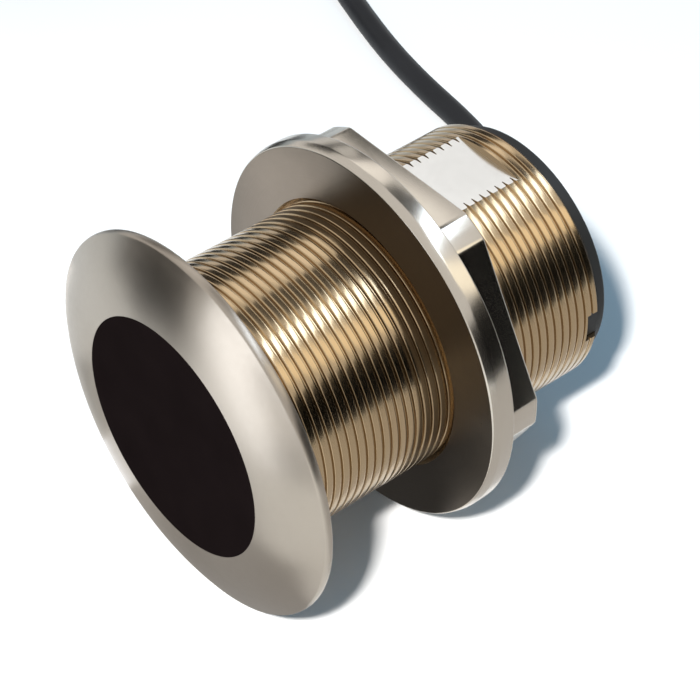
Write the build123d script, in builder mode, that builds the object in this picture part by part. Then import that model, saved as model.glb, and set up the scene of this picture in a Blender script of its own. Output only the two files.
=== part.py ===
from build123d import *
from math import cos, pi, radians, sin, sqrt, tan
import os

# A bronze through-hull depth transducer, lying on its flange and its hull nut. Sizes are in millimetres.
# Stations run along the stem from the acoustic face, at 0, to the cable's bush. +X points the same way.
# A turn about the stem is counted from straight up towards -Y.

# Housing: flange and stem are turned from one casting
stem_radius = 25.4
stem_wall = 3.6
stem_end = 76.4
end_chamfer = 1.0
flange_radius = 36.5
flange_seat = 5.6
flange_lip = 0.3
rim_thickness = 1.8
rim_round = 0.35
crown_rise = 0.9
flat_depth = 1.25
flats_start = 44.0
flats_end = 71.0
notch_width = 6.0
notch_depth = 3.3
notch_turn = 90.7

# Hull nut: a round flange with a smaller hexagon behind it, whose corners are turned round
nut_front = 40.7
nut_radius = flange_radius
nut_flange_thickness = 4.6
nut_hexagon_thickness = 6.9
nut_hexagon_across = 62.9
nut_hexagon_step = 1.6
nut_hexagon_turn = 30.2
nut_front_chamfer = 1.6
nut_front_drop = 0.45
nut_corner_chamfer = 0.4
nut_bore_chamfer = 0.8
thread_clearance = 0.05

# Acoustic window and the stack behind it
bond_gap = 0.03
window_ledge = 1.1
window_thickness = 4.6
cork_thickness = 2.8
ceramic_thickness = 11.0
backing_thickness = 5.0
lead_setback = 5.0
lead_radius = 0.6
lead_hole_radius = 1.5
solder_radius = 1.3
solder_height = 0.9

# Transformer: a ferrite pot core on the board's front, split across its middle
board_front = 41.0
board_edge_gap = 1.8
board_thickness = 1.6
core_radius = 11.0
core_length = 14.0
core_wall = 1.7
core_end = 2.0
core_post_radius = 4.5
core_slot_width = 3.0
bobbin_wall = 0.9
bobbin_gap = 0.1
winding_setback = 0.5
winding_lead_radius = 0.35

# Parts on the board's back
chip_side = 9.0
chip_height = 1.6
chip_place = (8.0, -5.0)
capacitor_size = (2.5, 3.2, 1.8)
capacitor_pitch = 5.0
capacitor_count = 3
capacitor_height = 8.0
terminal_radius = 0.6
terminal_length = 4.0
terminal_pitch = 3.0
terminal_height = -6.0
conductor_count = 5
conductor_radius = 0.3
conductor_circle = 1.0

# Rear cap, its key in the rim's notch, and the cable's bush
cap_setback = 1.8
cap_thickness = 2.8
cap_edge_round = 0.6
plug_length = 6.0
key_clearance = 0.1
key_setback = 1.1
bush_radius = 4.8
bush_collar_radius = 6.0
bush_collar_length = 3.0
bush_edge_round = 0.8

# Cable: its jacket, its crimped ferrule, and the way it runs
cable_radius = 2.7
cable_inner_end = 60.0
ferrule_start = 62.0
ferrule_length = 6.0
ferrule_radius = 4.1
ferrule_collar_radius = 5.8
ferrule_collar_length = 2.0
route_share = 0.45

# Coil: four turns wide and six high, lying on the undersides of its two ties
coil_middle_radius = 38.6
coil_turns_wide = 4
coil_turns_high = 6
coil_turns = 23.25
coil_centre = (62.8, 212.9)
coil_stub = 24.0
coil_run_in = 9.0
tie_thickness = 0.8
tie_width = 8.0
tie_turns = (135.0, 315.0)
tie_gap = 0.05

# Connector: five pins in a moulded grip, with a knurled coupling ring that turns on it
plug_point = (-1.6, 214.0)
plug_turn = 240.0
plug_run_in = 8.0
grip_tail_radius = 3.8
grip_tail_length = 16.0
grip_radius = 6.6
grip_length = 20.0
grip_groove_count = 3
grip_groove_width = 1.6
grip_groove_depth = 0.8
neck_radius = 4.9
neck_length = 8.0
ring_radius = 7.3
ring_gap = 0.2
ring_knurl_length = 8.0
ring_nose_radius = 6.0
ring_nose_length = 6.0
ring_clearance = 0.08
knurl_count = 20
knurl_depth = 0.35
insert_radius = 4.7
insert_wall = 0.7
insert_floor = 1.6
insert_recess = 0.4
pin_radius = 0.5
pin_circle = 2.4
pin_length = 3.6

# Places that follow from the sizes above
axis_height = flange_radius
bore_radius = stem_radius - stem_wall
window_radius = bore_radius + window_ledge
ceramic_radius = bore_radius - cork_thickness
lead_offset = ceramic_radius - lead_setback
board_radius = bore_radius - board_edge_gap
cap_radius = stem_radius - cap_setback
key_radius = stem_radius - key_setback
cap_end = stem_end + cap_thickness
bush_end = cap_end + bush_collar_length
face_x = -bush_end / 2
nut_hexagon_front = nut_front + nut_flange_thickness
nut_hexagon_radius = nut_radius - nut_hexagon_step
nut_rear = nut_hexagon_front + nut_hexagon_thickness
ceramic_back = window_thickness + ceramic_thickness
backing_back = ceramic_back + backing_thickness
board_back = board_front + board_thickness
core_front_station = board_front - core_length
core_middle = board_front - core_length / 2
winding_inner = core_post_radius + bobbin_gap + bobbin_wall
winding_outer = core_radius - core_wall - bobbin_gap - winding_setback
bobbin_front = core_front_station + core_end + bobbin_gap
bobbin_back = board_front - core_end - bobbin_gap
terminal_end = board_back + terminal_length
plug_front = stem_end - plug_length
key_front = stem_end - notch_depth + key_clearance
coil_outer_turn = coil_middle_radius + (coil_turns_wide - 1) * cable_radius
coil_outer = coil_outer_turn + cable_radius
coil_inner = coil_middle_radius - coil_turns_wide * cable_radius
coil_height = 2 * cable_radius * coil_turns_high
coil_bottom_turn = tie_thickness + cable_radius
coil_top_turn = tie_thickness + coil_height - cable_radius

stem_axis = Axis((face_x, 0, axis_height), (1, 0, 0))
profile = Plane(origin=(face_x, 0, axis_height), x_dir=(1, 0, 0), z_dir=(0, -1, 0))


def across(station):
    """The plane across the stem at a station: its own x points up and its own y towards -Y."""
    return Plane(origin=(face_x + station, 0, axis_height), x_dir=(0, 0, 1), z_dir=(1, 0, 0))


def at_stem(station, up, side):
    """A point in space, given by its station and its offsets from the stem's axis."""
    return (face_x + station, -side, axis_height + up)


def corner_radii(points):
    """The largest arc that each corner of a cable's route leaves room for."""
    radii = []
    for before, here, after in zip(points, points[1:], points[2:]):
        run_in = Vector(*here) - Vector(*before)
        run_out = Vector(*after) - Vector(*here)
        turn = radians(run_in.get_angle(run_out))
        radii.append(route_share * min(run_in.length, run_out.length) / tan(turn / 2))
    return radii


with BuildPart() as housing:
    crown_start = Vector(0, window_radius + flange_lip)
    crown_end = Vector(flange_seat - rim_thickness, flange_radius - rim_round)
    chord = crown_end - crown_start
    crown_middle = (crown_start + crown_end) * 0.5 + Vector(-chord.Y, chord.X).normalized() * crown_rise
    rim_middle = (flange_seat - rim_thickness / 2, flange_radius)
    rim_back = (flange_seat, flange_radius - rim_round)
    with BuildSketch(profile):
        with BuildLine():
            Line((0, window_radius), crown_start)
            ThreePointArc(crown_start, crown_middle, crown_end)
            ThreePointArc(crown_end, rim_middle, rim_back)
            Polyline(
                rim_back,
                (flange_seat, stem_radius),
                (stem_end - end_chamfer, stem_radius),
                (stem_end, stem_radius - end_chamfer),
                (stem_end, bore_radius),
                (window_thickness, bore_radius),
                (window_thickness, window_radius),
                (0, window_radius),
            )
        make_face()
    revolve(axis=stem_axis)
    with BuildSketch(across(flats_start)):
        with Locations((stem_radius - flat_depth / 2, 0), (-stem_radius + flat_depth / 2, 0)):
            Rectangle(flat_depth, 2 * stem_radius)
    extrude(amount=flats_end - flats_start, mode=Mode.SUBTRACT)
    with BuildSketch(across(stem_end - notch_depth)):
        with PolarLocations((bore_radius + stem_radius) / 2, 1, start_angle=notch_turn):
            Rectangle(stem_radius - bore_radius + 1, notch_width)
    extrude(amount=notch_depth, mode=Mode.SUBTRACT)
housing.part.label = "housing"

with BuildPart() as hull_nut:
    nut_bore = stem_radius + thread_clearance
    with BuildSketch(profile):
        with BuildLine():
            Polyline(
                (nut_front, nut_bore + nut_bore_chamfer),
                (nut_front, nut_radius - nut_front_drop),
                (nut_front + nut_front_chamfer, nut_radius),
                (nut_hexagon_front - nut_corner_chamfer, nut_radius),
                (nut_hexagon_front, nut_radius - nut_corner_chamfer),
                (nut_hexagon_front, nut_hexagon_radius),
                (nut_rear - nut_corner_chamfer, nut_hexagon_radius),
                (nut_rear, nut_hexagon_radius - nut_corner_chamfer),
                (nut_rear, nut_bore + nut_bore_chamfer),
                (nut_rear - nut_bore_chamfer, nut_bore),
                (nut_front + nut_bore_chamfer, nut_bore),
                close=True,
            )
        make_face()
    revolve(axis=stem_axis)
    with BuildSketch(across(nut_hexagon_front)):
        Circle(nut_radius)
        RegularPolygon(
            nut_hexagon_across / 2, 6, major_radius=False, rotation=nut_hexagon_turn, mode=Mode.SUBTRACT
        )
    extrude(amount=nut_hexagon_thickness, mode=Mode.SUBTRACT)
hull_nut.part.label = "hull_nut"

with BuildPart() as acoustic_window:
    with BuildSketch(across(0)):
        Circle(window_radius - bond_gap)
    extrude(amount=window_thickness)
acoustic_window.part.label = "acoustic_window"

with BuildPart() as ceramic_disc:
    with BuildSketch(across(window_thickness)):
        Circle(ceramic_radius)
    extrude(amount=ceramic_thickness)
ceramic_disc.part.label = "ceramic_disc"

with BuildPart() as cork_sleeve:
    with BuildSketch(across(window_thickness)):
        Circle(bore_radius - bond_gap)
        Circle(ceramic_radius + bond_gap, mode=Mode.SUBTRACT)
    extrude(amount=ceramic_thickness)
cork_sleeve.part.label = "cork_sleeve"

with BuildPart() as backing_disc:
    with BuildSketch(across(ceramic_back)):
        Circle(bore_radius - bond_gap)
        with Locations((0, lead_offset), (0, -lead_offset)):
            Circle(lead_hole_radius, mode=Mode.SUBTRACT)
    extrude(amount=backing_thickness)
backing_disc.part.label = "backing_disc"

# One dot of solder under each lead on the ceramic, and one where it comes through the board
with BuildPart() as solder_joints:
    for station in (ceramic_back, board_back):
        with BuildSketch(across(station)):
            with Locations((0, lead_offset), (0, -lead_offset)):
                Circle(solder_radius)
        extrude(amount=solder_height, taper=20)
solder_joints.part.label = "solder_joints"

with BuildPart() as signal_lead:
    with BuildSketch(across(ceramic_back + solder_height)):
        with Locations((0, lead_offset)):
            Circle(lead_radius)
    extrude(amount=board_back - ceramic_back - solder_height)
signal_lead.part.label = "signal_lead"

with BuildPart() as ground_lead:
    with BuildSketch(across(ceramic_back + solder_height)):
        with Locations((0, -lead_offset)):
            Circle(lead_radius)
    extrude(amount=board_back - ceramic_back - solder_height)
ground_lead.part.label = "ground_lead"

with BuildPart() as core_front:
    with BuildSketch(across(core_front_station)):
        Circle(core_radius)
    extrude(amount=core_length / 2)
    with BuildSketch(across(core_front_station + core_end)):
        Circle(core_radius - core_wall)
        Circle(core_post_radius, mode=Mode.SUBTRACT)
    extrude(amount=core_length / 2 - core_end, mode=Mode.SUBTRACT)
core_front.part.label = "core_front"

with BuildPart() as core_rear:
    with BuildSketch(across(core_middle)):
        Circle(core_radius)
    extrude(amount=core_length / 2)
    with BuildSketch(across(core_middle)):
        Circle(core_radius - core_wall)
        Circle(core_post_radius, mode=Mode.SUBTRACT)
    extrude(amount=core_length / 2 - core_end, mode=Mode.SUBTRACT)
    with BuildSketch(across(core_middle)):
        with Locations((core_radius - core_wall / 2, 0), (-core_radius + core_wall / 2, 0)):
            Rectangle(2 * core_wall, core_slot_width)
    extrude(amount=core_length / 2, mode=Mode.SUBTRACT)
core_rear.part.label = "core_rear"

with BuildPart() as bobbin:
    bobbin_flange = core_radius - core_wall - bobbin_gap
    bobbin_inner = core_post_radius + bobbin_gap
    with BuildSketch(profile):
        with BuildLine():
            Polyline(
                (bobbin_front, bobbin_inner),
                (bobbin_front, bobbin_flange),
                (bobbin_front + bobbin_wall, bobbin_flange),
                (bobbin_front + bobbin_wall, winding_inner),
                (bobbin_back - bobbin_wall, winding_inner),
                (bobbin_back - bobbin_wall, bobbin_flange),
                (bobbin_back, bobbin_flange),
                (bobbin_back, bobbin_inner),
                close=True,
            )
        make_face()
    revolve(axis=stem_axis)
bobbin.part.label = "bobbin"

with BuildPart() as winding:
    with BuildSketch(across(bobbin_front + bobbin_wall)):
        Circle(winding_outer)
        Circle(winding_inner, mode=Mode.SUBTRACT)
    extrude(amount=bobbin_back - bobbin_front - 2 * bobbin_wall)
winding.part.label = "winding"

# Each lead leaves the winding outwards and turns back through the core's slot into the board
with BuildPart() as winding_leads:
    slot_middle = core_radius - core_wall / 2
    bobbin_middle = (bobbin_front + bobbin_back) / 2 + core_end
    for side in (1, -1):
        start = at_stem(bobbin_middle, side * winding_outer, 0)
        corner = at_stem(bobbin_middle, side * slot_middle, 0)
        with BuildLine():
            Polyline(start, corner, at_stem(board_back, side * slot_middle, 0))
        with BuildSketch(Plane(origin=start, z_dir=(0, 0, side))):
            Circle(winding_lead_radius)
        sweep(transition=Transition.ROUND)
winding_leads.part.label = "winding_leads"

with BuildPart() as circuit_board:
    with BuildSketch(across(board_front)):
        Circle(board_radius)
        with Locations((0, lead_offset), (0, -lead_offset)):
            Circle(lead_radius, mode=Mode.SUBTRACT)
        with Locations((slot_middle, 0), (-slot_middle, 0)):
            Circle(winding_lead_radius, mode=Mode.SUBTRACT)
    extrude(amount=board_thickness)
circuit_board.part.label = "circuit_board"

with BuildPart() as processor_chip:
    with BuildSketch(across(board_back)):
        with Locations(chip_place):
            Rectangle(chip_side, chip_side)
    extrude(amount=chip_height)
    chamfer(processor_chip.faces().sort_by(Axis.X)[-1].edges(), length=0.2)
processor_chip.part.label = "processor_chip"

with BuildPart() as capacitors:
    with BuildSketch(across(board_back)):
        with Locations((capacitor_height, 2 * capacitor_size[1])):
            with GridLocations(capacitor_pitch, capacitor_pitch, capacitor_count, 1):
                Rectangle(capacitor_size[0], capacitor_size[1])
    extrude(amount=capacitor_size[2])
capacitors.part.label = "capacitors"

terminal_sides = [(place - (conductor_count - 1) / 2) * terminal_pitch for place in range(conductor_count)]

with BuildPart() as board_terminals:
    with BuildSketch(across(board_back)):
        with Locations(*[(terminal_height, side) for side in terminal_sides]):
            Circle(terminal_radius)
    extrude(amount=terminal_length)
board_terminals.part.label = "board_terminals"

# Five insulated wires fan out from the end of the cable's jacket to the terminals
with BuildPart() as cable_conductors:
    fan_length = cable_inner_end - terminal_end
    for place, side in enumerate(terminal_sides):
        turn = radians(180 + (place - (conductor_count - 1) / 2) * 360 / conductor_count)
        up_end = conductor_circle * cos(turn)
        side_end = -conductor_circle * sin(turn)
        start = at_stem(terminal_end, terminal_height, side)
        with BuildLine():
            FilletPolyline(
                start,
                at_stem(terminal_end + 0.1 * fan_length, terminal_height, side),
                at_stem(terminal_end + 0.9 * fan_length, up_end, side_end),
                at_stem(cable_inner_end, up_end, side_end),
                radius=2.5,
            )
        with BuildSketch(Plane(origin=start, z_dir=(1, 0, 0))):
            Circle(conductor_radius)
        sweep()
cable_conductors.part.label = "cable_conductors"

with BuildPart() as cable_inner:
    with BuildSketch(across(cable_inner_end)):
        Circle(cable_radius)
    extrude(amount=bush_end - cable_inner_end)
cable_inner.part.label = "cable_inner"

with BuildPart() as anchor_ferrule:
    with BuildSketch(across(ferrule_start)):
        Circle(ferrule_radius)
    extrude(amount=ferrule_length)
    with BuildSketch(across(ferrule_start)):
        Circle(ferrule_collar_radius)
    extrude(amount=ferrule_collar_length)
    with BuildSketch(across(ferrule_start)):
        Circle(cable_radius)
    extrude(amount=ferrule_length, mode=Mode.SUBTRACT)
anchor_ferrule.part.label = "anchor_ferrule"

# The filling sets round everything between the backing and the cap, and runs into the backing's holes
with BuildPart() as potting_fill:
    with BuildSketch(across(backing_back)):
        Circle(bore_radius - bond_gap)
    extrude(amount=plug_front - backing_back)
    with BuildSketch(across(ceramic_back)):
        with Locations((0, lead_offset), (0, -lead_offset)):
            Circle(lead_hole_radius - bond_gap)
    extrude(amount=backing_thickness)
    with BuildSketch(across(core_front_station)):
        Circle(core_radius)
    extrude(amount=core_length, mode=Mode.SUBTRACT)
    for piece in (
        signal_lead,
        ground_lead,
        circuit_board,
        solder_joints,
        winding_leads,
        processor_chip,
        capacitors,
        board_terminals,
        cable_conductors,
        cable_inner,
        anchor_ferrule,
    ):
        add(piece.part, mode=Mode.SUBTRACT)
potting_fill.part.label = "potting_fill"

with BuildPart() as rear_cap:
    with BuildSketch(across(stem_end)):
        Circle(cap_radius)
    extrude(amount=cap_thickness)
    fillet(rear_cap.edges().sort_by(Axis.X)[-1], radius=cap_edge_round)
    with BuildSketch(across(plug_front)):
        Circle(bore_radius - bond_gap)
    extrude(amount=plug_length)
    with BuildSketch(across(key_front)):
        with PolarLocations((bore_radius + key_radius) / 2 - 1, 1, start_angle=notch_turn):
            Rectangle(key_radius - bore_radius + 2, notch_width - 2 * key_clearance)
    extrude(amount=stem_end - key_front)
    with BuildSketch(across(plug_front)):
        Circle(bush_radius)
    extrude(amount=cap_end - plug_front, mode=Mode.SUBTRACT)
rear_cap.part.label = "rear_cap"

with BuildPart() as cable_bush:
    with BuildSketch(across(plug_front)):
        Circle(bush_radius - bond_gap)
    extrude(amount=cap_end - plug_front)
    with BuildSketch(across(cap_end)):
        Circle(bush_collar_radius)
    extrude(amount=bush_collar_length)
    fillet(cable_bush.edges().sort_by(Axis.X)[-1], radius=bush_edge_round)
    with BuildSketch(across(plug_front)):
        Circle(cable_radius)
    extrude(amount=bush_end - plug_front, mode=Mode.SUBTRACT)
cable_bush.part.label = "cable_bush"

# The cable turns and sinks to the floor behind the housing, and runs on along the floor to the coil
coil_x, coil_y = coil_centre
lead_end = (coil_x + coil_outer_turn, coil_y - coil_stub, coil_bottom_turn)
lead_points = [
    (bush_end + face_x, 0, axis_height),
    (46.0, 0, 36.5),
    (50.8, 0.9, 34.9),
    (55.0, 3.0, 32.0),
    (58.2, 6.8, 27.6),
    (61.6, 13.4, 21.2),
    (66.2, 22.6, 13.9),
    (72.0, 32.8, 7.8),
    (78.0, 43.6, 3.9),
    (82.0, 54.0, cable_radius),
    (84.5, 65.0, cable_radius),
    (86.0, 78.5, cable_radius),
    (88.6, 93.0, cable_radius),
    (92.4, 107.0, cable_radius),
    (97.4, 122.5, cable_radius),
    (102.6, 139.0, cable_radius),
    (106.8, 157.0, 3.1),
    (lead_end[0], lead_end[1] - 1.5 * coil_run_in, lead_end[2]),
    lead_end,
]
tail_start = (coil_x - coil_stub, coil_y + coil_outer_turn, coil_top_turn)
plug_x, plug_y = plug_point
plug_height = ring_radius
plug_along_x = cos(radians(plug_turn))
plug_along_y = sin(radians(plug_turn))
tail_points = [
    tail_start,
    (tail_start[0] - coil_run_in, tail_start[1], tail_start[2]),
    (18.6, 256.6, 27.6),
    (10.6, 249.0, 21.6),
    (7.0, 239.0, 15.0),
    (5.2, 229.6, 9.9),
    (plug_x - plug_run_in * plug_along_x, plug_y - plug_run_in * plug_along_y, plug_height),
    (plug_x, plug_y, plug_height),
]
lead_radii = corner_radii(lead_points)
tail_radii = corner_radii(tail_points)
print("cable lead radii", [round(radius, 1) for radius in lead_radii])
print("cable tail radii", [round(radius, 1) for radius in tail_radii])

with BuildPart() as cable_lead:
    with BuildLine() as lead_line:
        FilletPolyline(*lead_points, radius=lead_radii)
    with BuildSketch(Plane(origin=lead_points[0], z_dir=(1, 0, 0))):
        Circle(cable_radius)
    sweep()
cable_lead.part.label = "cable_lead"

with BuildPart() as cable_tail:
    with BuildLine() as tail_line:
        FilletPolyline(*tail_points, radius=tail_radii)
    with BuildSketch(Plane(origin=tail_start, z_dir=(-1, 0, 0))):
        Circle(cable_radius)
    sweep()
cable_tail.part.label = "cable_tail"

cable_section = pi * cable_radius**2
lead_length = lead_line.wire().length
tail_length = tail_line.wire().length
coil_length = coil_turns * 2 * pi * coil_middle_radius + 2 * coil_stub
print("lead volume over section times length", cable_lead.part.volume / (cable_section * lead_length))
print("tail volume over section times length", cable_tail.part.volume / (cable_section * tail_length))
print("cable outside the bush", round(lead_length + tail_length + coil_length, 1))

# The outer shape of the coiled turns, with the two straight ends that run out of it
with BuildPart() as cable_coil:
    with BuildSketch(Plane(origin=(coil_x, coil_y, tie_thickness))):
        Circle(coil_outer)
        Circle(coil_inner, mode=Mode.SUBTRACT)
    extrude(amount=coil_height)
    with BuildSketch(Plane(origin=lead_end, z_dir=(0, 1, 0))):
        Circle(cable_radius)
    extrude(amount=coil_stub)
    with BuildSketch(Plane(origin=tail_start, z_dir=(1, 0, 0))):
        Circle(cable_radius)
    extrude(amount=coil_stub)
cable_coil.part.label = "cable_coil"

with BuildPart() as coil_ties:
    tie_inner_face = sqrt(coil_inner**2 - (tie_width / 2) ** 2) - tie_gap
    tie_outer_face = coil_outer + tie_gap
    tie_middle = (tie_inner_face + tie_outer_face) / 2
    tie_span = tie_outer_face - tie_inner_face
    with BuildSketch(Plane(origin=(coil_x, coil_y, 0))):
        for turn in tie_turns:
            with PolarLocations(tie_middle, 1, start_angle=turn):
                Rectangle(tie_span + 2 * tie_thickness, tie_width)
    extrude(amount=coil_height + 2 * tie_thickness + tie_gap)
    with BuildSketch(Plane(origin=(coil_x, coil_y, tie_thickness))):
        for turn in tie_turns:
            with PolarLocations(tie_middle, 1, start_angle=turn):
                Rectangle(tie_span, tie_width)
    extrude(amount=coil_height + tie_gap, mode=Mode.SUBTRACT)
coil_ties.part.label = "coil_ties"

# The connector lies on its ring, turned so that its plug passes clear of the housing's front.
# Its stations run from the cable's end.
grip_end = grip_tail_length + grip_length
ring_start = grip_end + ring_gap
ring_knurl_end = ring_start + ring_knurl_length
ring_end = ring_knurl_end + ring_nose_length
neck_end = grip_end + neck_length
plug_along = (plug_along_x, plug_along_y, 0)
plug_axis = Axis((plug_x, plug_y, plug_height), plug_along)
plug_profile = Plane(
    origin=(plug_x, plug_y, plug_height),
    x_dir=plug_along,
    z_dir=(plug_along_y, -plug_along_x, 0),
)


def across_plug(station):
    """The plane across the connector at a station: its own x points up."""
    centre = (plug_x + station * plug_along_x, plug_y + station * plug_along_y, plug_height)
    return Plane(origin=centre, x_dir=(0, 0, 1), z_dir=plug_along)


with BuildPart() as connector_grip:
    with BuildSketch(plug_profile):
        with BuildLine():
            Polyline(
                (0, 0),
                (0, grip_tail_radius),
                (grip_tail_length, grip_radius - 1),
                (grip_tail_length + 1, grip_radius),
                (grip_end - 1, grip_radius),
                (grip_end, grip_radius - 1),
                (grip_end, neck_radius),
                (neck_end, neck_radius),
                (neck_end, 0),
                close=True,
            )
        make_face()
    revolve(axis=plug_axis)
    for groove in range(grip_groove_count):
        with BuildSketch(across_plug(grip_tail_length * (groove + 1) / (grip_groove_count + 1))):
            Circle(grip_radius)
            Circle(grip_tail_radius + groove * grip_groove_depth / 2, mode=Mode.SUBTRACT)
        extrude(amount=grip_groove_width, mode=Mode.SUBTRACT)
connector_grip.part.label = "connector_grip"

with BuildPart() as coupling_ring:
    ring_bore = neck_radius + ring_clearance
    with BuildSketch(plug_profile):
        with BuildLine():
            Polyline(
                (ring_start, ring_bore),
                (ring_start, ring_radius - 0.5),
                (ring_start + 0.5, ring_radius),
                (ring_knurl_end - 0.5, ring_radius),
                (ring_knurl_end, ring_radius - 0.5),
                (ring_knurl_end, ring_nose_radius),
                (ring_end, ring_nose_radius),
                (ring_end, ring_bore),
                close=True,
            )
        make_face()
    revolve(axis=plug_axis)
    with BuildSketch(across_plug(ring_start)):
        with PolarLocations(ring_radius, knurl_count):
            Rectangle(2 * knurl_depth, pi * ring_radius / knurl_count)
    extrude(amount=ring_knurl_length, mode=Mode.SUBTRACT)
coupling_ring.part.label = "coupling_ring"

with BuildPart() as connector_insert:
    insert_length = ring_end - insert_recess - neck_end
    with BuildSketch(across_plug(neck_end)):
        Circle(insert_radius)
    extrude(amount=insert_length)
    with BuildSketch(across_plug(neck_end + insert_floor)):
        Circle(insert_radius - insert_wall)
    extrude(amount=insert_length - insert_floor, mode=Mode.SUBTRACT)
connector_insert.part.label = "connector_insert"

with BuildPart() as contact_pins:
    with BuildSketch(across_plug(neck_end + insert_floor)):
        Circle(pin_radius)
        with PolarLocations(pin_circle, 4, start_angle=45):
            Circle(pin_radius)
    extrude(amount=pin_length)
    chamfer(contact_pins.faces().sort_by(plug_axis)[-5:].edges(), length=0.2)
contact_pins.part.label = "contact_pins"

pieces = [
    housing,
    hull_nut,
    acoustic_window,
    ceramic_disc,
    cork_sleeve,
    backing_disc,
    solder_joints,
    signal_lead,
    ground_lead,
    core_front,
    core_rear,
    bobbin,
    winding,
    winding_leads,
    circuit_board,
    processor_chip,
    capacitors,
    board_terminals,
    cable_conductors,
    cable_inner,
    anchor_ferrule,
    potting_fill,
    rear_cap,
    cable_bush,
    cable_lead,
    cable_coil,
    cable_tail,
    coil_ties,
    connector_grip,
    coupling_ring,
    connector_insert,
    contact_pins,
]
os.makedirs("parts", exist_ok=True)
for piece in pieces:
    export_step(piece.part, f"parts/{piece.part.label}.step")
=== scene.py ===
import bpy
from math import acos, cos, degrees, pi, radians, sin
from mathutils import Matrix, Vector


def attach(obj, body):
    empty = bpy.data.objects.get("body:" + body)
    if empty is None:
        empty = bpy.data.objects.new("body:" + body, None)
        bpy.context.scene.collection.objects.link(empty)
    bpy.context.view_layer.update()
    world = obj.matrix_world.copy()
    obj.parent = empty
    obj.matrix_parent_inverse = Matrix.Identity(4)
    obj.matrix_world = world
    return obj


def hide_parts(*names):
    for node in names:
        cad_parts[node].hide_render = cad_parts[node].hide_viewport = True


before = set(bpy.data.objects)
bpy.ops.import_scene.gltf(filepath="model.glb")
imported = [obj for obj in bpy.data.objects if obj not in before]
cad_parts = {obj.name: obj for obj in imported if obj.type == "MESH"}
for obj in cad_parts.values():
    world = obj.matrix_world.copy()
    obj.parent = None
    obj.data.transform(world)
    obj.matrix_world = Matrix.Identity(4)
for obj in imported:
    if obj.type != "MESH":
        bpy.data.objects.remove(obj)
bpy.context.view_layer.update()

# The stem lies along X, its axis at this height. Stations count from the acoustic face, in metres.
faceX = -0.0411
axisHeight = 0.0365


def atStation(station, radius):
    return (faceX + station, 0.0, axisHeight + radius)


# Camera
photoCamera = {
    "place": (-0.20708, -0.24614, 0.33371),
    "look": (0.4675, 0.5602, -0.6838),
    "lens": 127.2,
    "sensor": 36.0,
    "clip": (0.01, 20.0),
}


def setCamera():
    data = bpy.data.cameras.new("photoCamera")
    data.lens = photoCamera["lens"]
    data.sensor_width = photoCamera["sensor"]
    data.clip_start, data.clip_end = photoCamera["clip"]
    view = bpy.data.objects.new("photoCamera", data)
    view.location = photoCamera["place"]
    view.rotation_euler = Vector(photoCamera["look"]).to_track_quat("-Z", "Y").to_euler()
    bpy.context.scene.collection.objects.link(view)
    bpy.context.scene.camera = view


setCamera()
print("camera set")


# Materials: what they share are groups of nodes, placed in each with its own values
def newGroup(name, inputs, outputs):
    group = bpy.data.node_groups.new(name, "ShaderNodeTree")
    for socketName, kind, value in inputs:
        socket = group.interface.new_socket(socketName, in_out="INPUT", socket_type=kind)
        socket.default_value = value
    for socketName, kind in outputs:
        group.interface.new_socket(socketName, in_out="OUTPUT", socket_type=kind)
    return group, group.nodes.new("NodeGroupInput"), group.nodes.new("NodeGroupOutput")


def addNode(tree, kind, settings=None, **inputs):
    # an input goes by its name, or by its number as i0, i1 and so on where several share a name
    node = tree.nodes.new(kind)
    for key, value in (settings or {}).items():
        setattr(node, key, value)
    for key, value in inputs.items():
        place = int(key[1:]) if key[1:].isdigit() else key.replace("_", " ")
        if isinstance(value, bpy.types.NodeSocket):
            tree.links.new(value, node.inputs[place])
        else:
            node.inputs[place].default_value = value
    return node


def makeCastMetalGroup():
    # colour that drifts in soft patches, and a roughness that follows them with a finer grain
    group, start, end = newGroup(
        "castMetal",
        [
            ("Metal", "NodeSocketColor", (0.5, 0.5, 0.5, 1)),
            ("Stain", "NodeSocketColor", (0.3, 0.3, 0.3, 1)),
            ("Patch Scale", "NodeSocketFloat", 60.0),
            ("Stain Amount", "NodeSocketFloat", 0.3),
            ("Roughness", "NodeSocketFloat", 0.3),
            ("Roughness Spread", "NodeSocketFloat", 0.08),
        ],
        [("Color", "NodeSocketColor"), ("Roughness", "NodeSocketFloat")],
    )
    place = addNode(group, "ShaderNodeTexCoord")
    broad = addNode(
        group,
        "ShaderNodeTexNoise",
        Vector=place.outputs["Object"],
        Scale=start.outputs["Patch Scale"],
        Detail=5.0,
        Roughness=0.6,
    )
    fine = addNode(
        group, "ShaderNodeTexNoise", Vector=place.outputs["Object"], Scale=900.0, Detail=3.0, Roughness=0.5
    )
    patch = addNode(group, "ShaderNodeMapRange", Value=broad.outputs[0], From_Min=0.35, From_Max=0.7)
    share = addNode(
        group,
        "ShaderNodeMath",
        {"operation": "MULTIPLY"},
        i0=patch.outputs[0],
        i1=start.outputs["Stain Amount"],
    )
    colour = addNode(
        group,
        "ShaderNodeMix",
        {"data_type": "RGBA"},
        Factor=share.outputs[0],
        i6=start.outputs["Metal"],
        i7=start.outputs["Stain"],
    )
    # the two noises add up to about 1, so the roughness varies about its own value
    both = addNode(group, "ShaderNodeMath", {"operation": "ADD"}, i0=broad.outputs[0], i1=fine.outputs[0])
    centred = addNode(group, "ShaderNodeMath", {"operation": "SUBTRACT"}, i0=both.outputs[0], i1=1.0)
    rough = addNode(
        group,
        "ShaderNodeMath",
        {"operation": "MULTIPLY_ADD"},
        i0=centred.outputs[0],
        i1=start.outputs["Roughness Spread"],
        i2=start.outputs["Roughness"],
    )
    group.links.new(colour.outputs[2], end.inputs["Color"])
    group.links.new(rough.outputs[0], end.inputs["Roughness"])
    return group


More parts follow.
